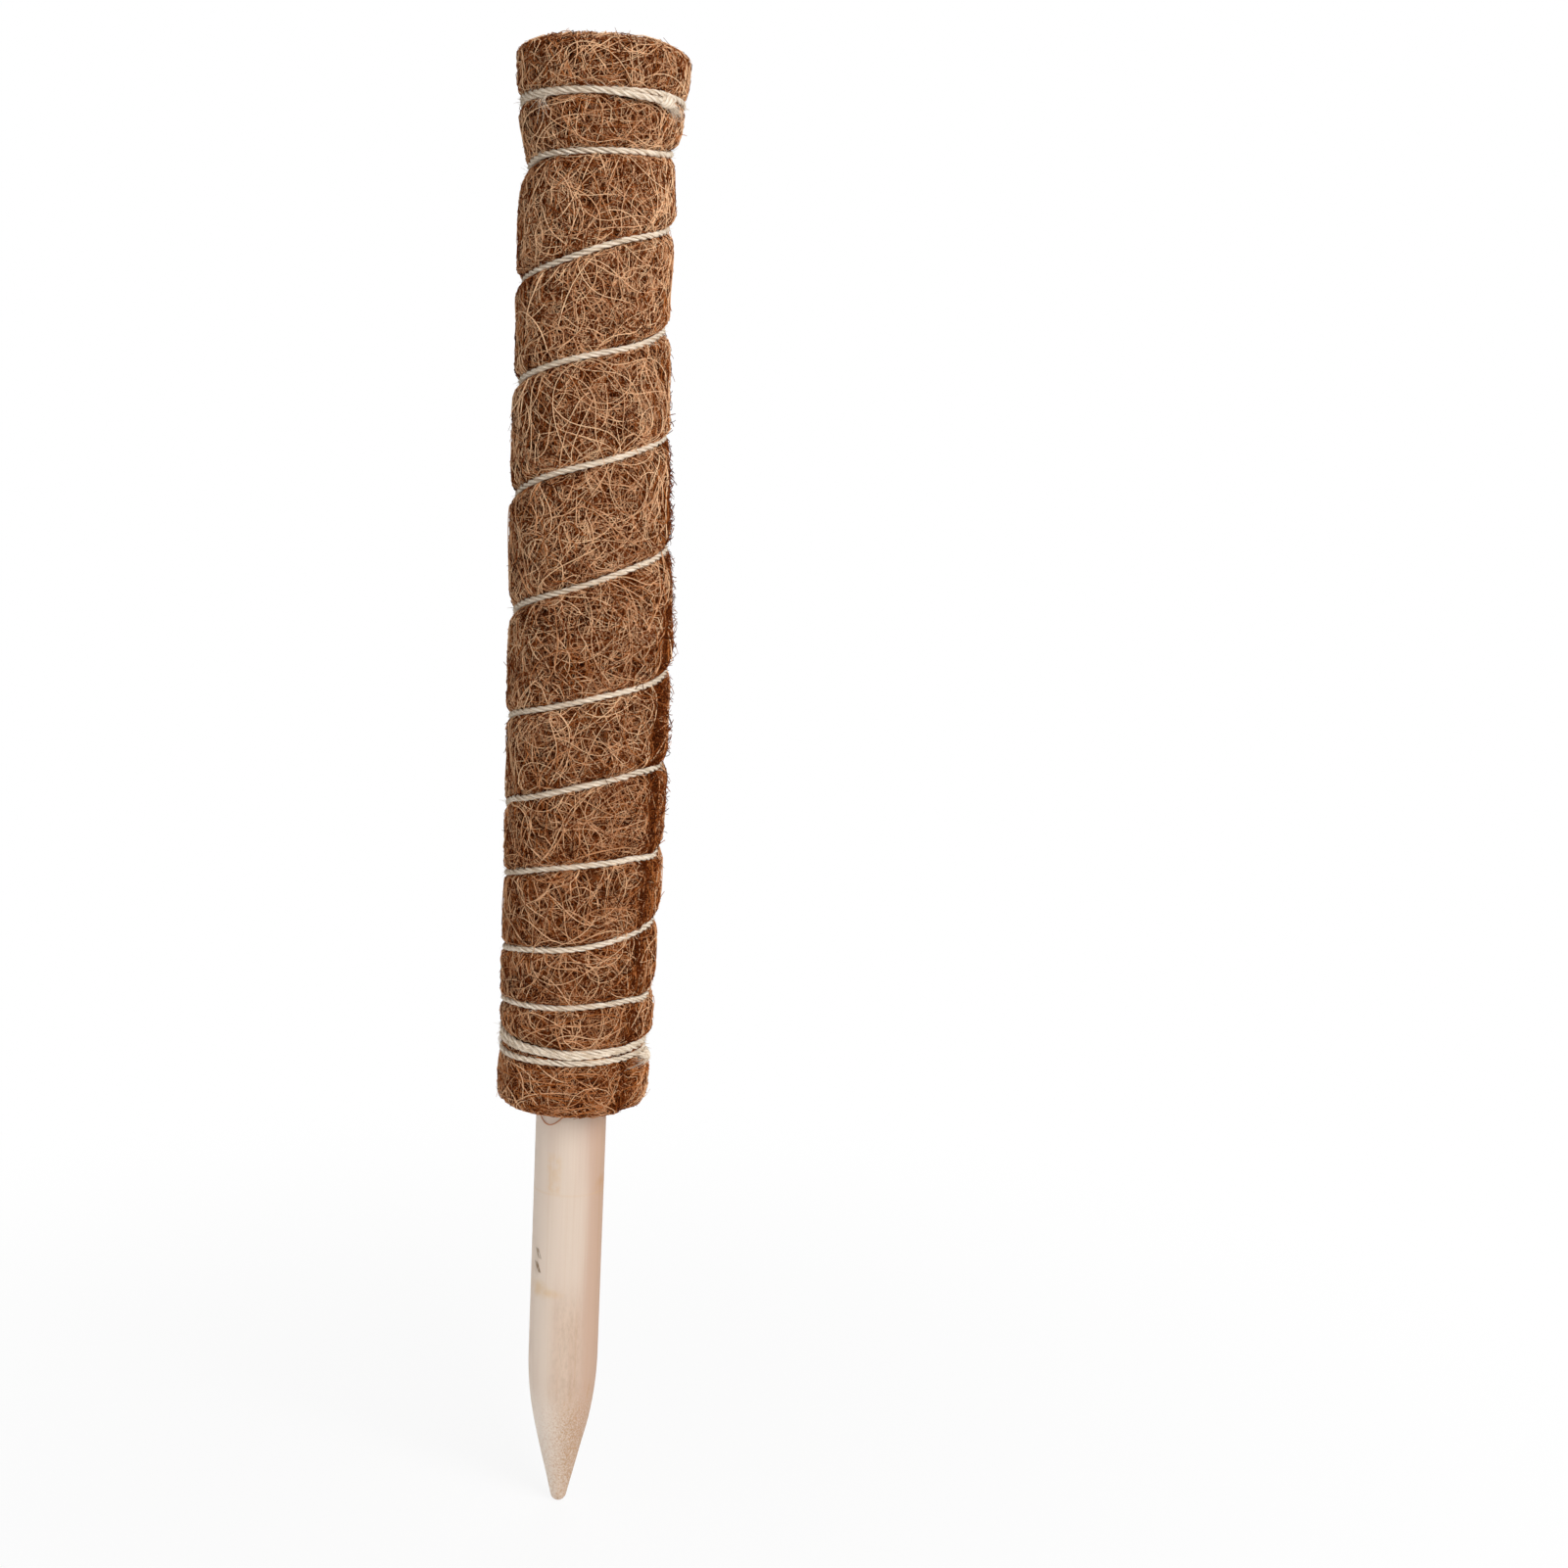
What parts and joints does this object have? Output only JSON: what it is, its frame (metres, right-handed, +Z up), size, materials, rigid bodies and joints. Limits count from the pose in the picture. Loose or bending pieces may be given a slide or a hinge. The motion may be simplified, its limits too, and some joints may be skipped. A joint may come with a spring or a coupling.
{
  "type": "moss pole",
  "caption": "Upright plant support: a pointed round wooden stake in a rolled coir fibre sleeve bound with jute twine, with a socket in its top for the next pole's stake.",
  "frame": {"origin": "on the pole's axis at the soil line, which is the bottom face of the coir sleeve", "axes": "+Z up along the pole, with the stake's point at -Z; -Y is the pictured side and +X is its right"},
  "size_m": [0.0469, 0.0452, 0.4],
  "materials": {
    "wood": "bare sanded pale softwood",
    "coir": "needled coir fibre mat",
    "jute": "laid natural jute twine"
  },
  "bodies": {
    "root": {"wooden_stake": "wood", "coir_mat": "coir", "twine_winding": "jute", "top_knot": "jute", "bottom_knot": "jute"}
  },
  "joints": []
}
